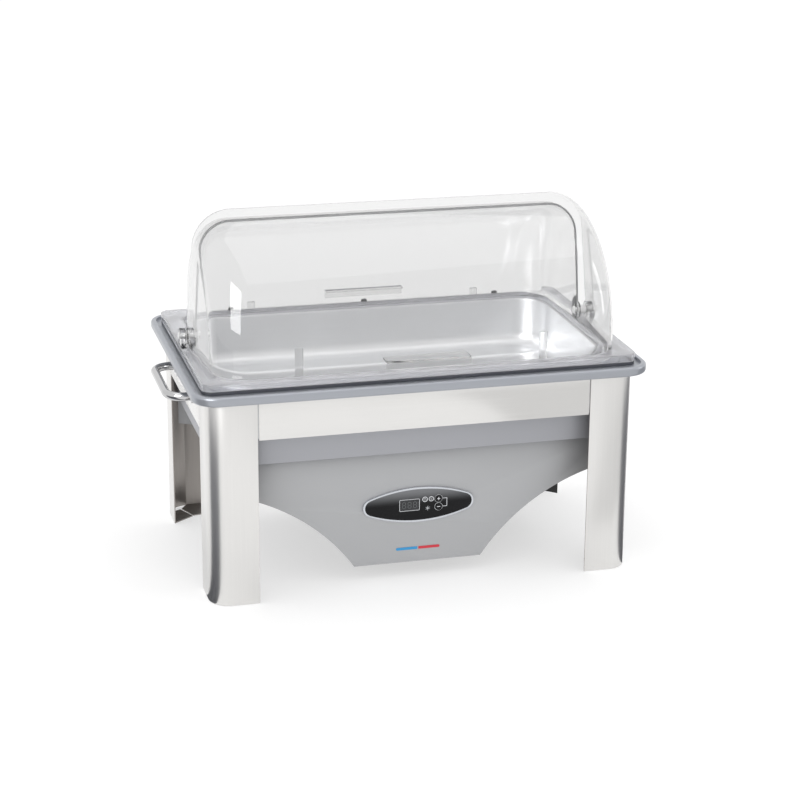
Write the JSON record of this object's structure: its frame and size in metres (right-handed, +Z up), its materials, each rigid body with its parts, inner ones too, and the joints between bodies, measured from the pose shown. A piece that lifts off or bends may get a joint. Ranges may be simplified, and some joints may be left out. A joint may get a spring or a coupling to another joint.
{
  "type": "roll top chafer",
  "caption": "Electric roll top chafer: sheet steel stand, insulated well with control panel, full size food pan and a clear cover whose halves roll back.",
  "frame": {"origin": "on the floor under the middle of the stand", "axes": "+X to the object's right as seen from the front, +Y to the rear, +Z up; the control panel faces -Y"},
  "size_m": [0.622, 0.384, 0.465],
  "materials": {
    "legs": "brushed",
    "pads": "matt",
    "zinc": "satin",
    "rim": "silver, satin",
    "stainless": "satin",
    "foam": "foamed",
    "casing": "satin grey",
    "black_sheet": "matt",
    "black_plastic": "fine grain",
    "red_plastic": "gloss",
    "aluminium": "extruded",
    "ceramic": "matt",
    "board": "solder mask",
    "display": "gloss",
    "bezel": "silver",
    "gloss_black": "gloss",
    "window": "smoked",
    "lamp": "clear",
    "keys": "gloss",
    "chrome": "polished",
    "white_plastic": "smooth",
    "rubber": "matt",
    "clear": "clear polycarbonate"
  },
  "bodies": {
    "base": {"leg_front_left": "legs", "leg_front_right": "legs", "leg_rear_left": "legs", "leg_rear_right": "legs", "foot_pads": "pads", "apron_front": "legs", "apron_rear": "legs", "apron_left": "legs", "apron_right": "legs", "chassis_frame": "zinc", "chassis_nuts": "zinc", "top_rim": "rim", "rim_gasket": "rubber", "well_liner": "stainless", "insulation": "foam", "well_casing": "casing", "front_panel": "casing", "rear_panel": "casing", "under_shell": "black_sheet", "mains_box": "black_sheet", "mains_inlet": "black_plastic", "inlet_pins": "zinc", "rocker_frame": "black_plastic", "cold_plate": "aluminium", "peltier_modules": "ceramic", "heat_sink_left": "aluminium", "heat_sink_right": "aluminium", "fan_frame_left": "black_plastic", "fan_frame_right": "black_plastic", "power_supply": "zinc", "control_board": "board", "display_module": "display", "control_bezel": "bezel", "control_fascia": "gloss_black", "display_window": "window", "mode_lamp": "lamp", "handle_left": "chrome", "handle_right": "chrome", "handle_screws": "zinc", "panel_screws": "zinc"},
    "food_pan": {"food_pan": "stainless"},
    "cover": {"cover_tray": "clear", "pivot_brackets": "clear", "pivot_pins": "white_plastic", "pivot_spacers": "white_plastic", "rear_buffers": "rubber", "guide_posts": "clear"},
    "front_hood": {"front_hood": "clear", "front_grip": "clear"},
    "rear_hood": {"rear_hood": "clear", "rear_grip": "clear"},
    "fan_left": {"fan_rotor_left": "black_plastic"},
    "fan_right": {"fan_rotor_right": "black_plastic"},
    "rocker": {"rocker_switch": "red_plastic"},
    "key_plus": {"key_plus": "keys"},
    "key_minus": {"key_minus": "keys"},
    "key_power": {"key_power": "keys"},
    "key_mode": {"key_mode": "keys"}
  },
  "joints": [
    {"name": "pan_lift", "type": "slide", "parent": "base", "child": "food_pan", "axis": [0, 0, 1], "range_m": [0, 0.12]},
    {"name": "cover_lift", "type": "slide", "parent": "food_pan", "child": "cover", "axis": [0, 0, 1], "range_m": [0, 0.1]},
    {"name": "front_roll", "type": "hinge", "parent": "cover", "child": "front_hood", "pos_m": [0, 0, 0.302], "axis": [-1, 0, 0], "range_deg": [0, 88]},
    {"name": "rear_roll", "type": "hinge", "parent": "cover", "child": "rear_hood", "pos_m": [0, 0, 0.302], "axis": [1, 0, 0], "range_deg": [0, 80]},
    {"name": "fan_left_spin", "type": "hinge", "parent": "base", "child": "fan_left", "pos_m": [-0.06, 0, 0.137], "axis": [0, 0, 1], "continuous": true},
    {"name": "fan_right_spin", "type": "hinge", "parent": "base", "child": "fan_right", "pos_m": [0.06, 0, 0.137], "axis": [0, 0, 1], "continuous": true},
    {"name": "rocker_tip", "type": "hinge", "parent": "base", "child": "rocker", "pos_m": [0.202, 0.0442, 0.11], "axis": [1, 0, 0], "range_deg": [0, 16]},
    {"name": "key_plus_press", "type": "slide", "parent": "base", "child": "key_plus", "axis": [0, 1, 0], "range_m": [0, 0.0008], "stiffness_N_per_m": 600, "springref_m": -0.0008},
    {"name": "key_minus_press", "type": "slide", "parent": "base", "child": "key_minus", "axis": [0, 1, 0], "range_m": [0, 0.0008], "stiffness_N_per_m": 600, "springref_m": -0.0008},
    {"name": "key_power_press", "type": "slide", "parent": "base", "child": "key_power", "axis": [0, 1, 0], "range_m": [0, 0.0008], "stiffness_N_per_m": 600, "springref_m": -0.0008},
    {"name": "key_mode_press", "type": "slide", "parent": "base", "child": "key_mode", "axis": [0, 1, 0], "range_m": [0, 0.0008], "stiffness_N_per_m": 600, "springref_m": -0.0008}
  ]
}
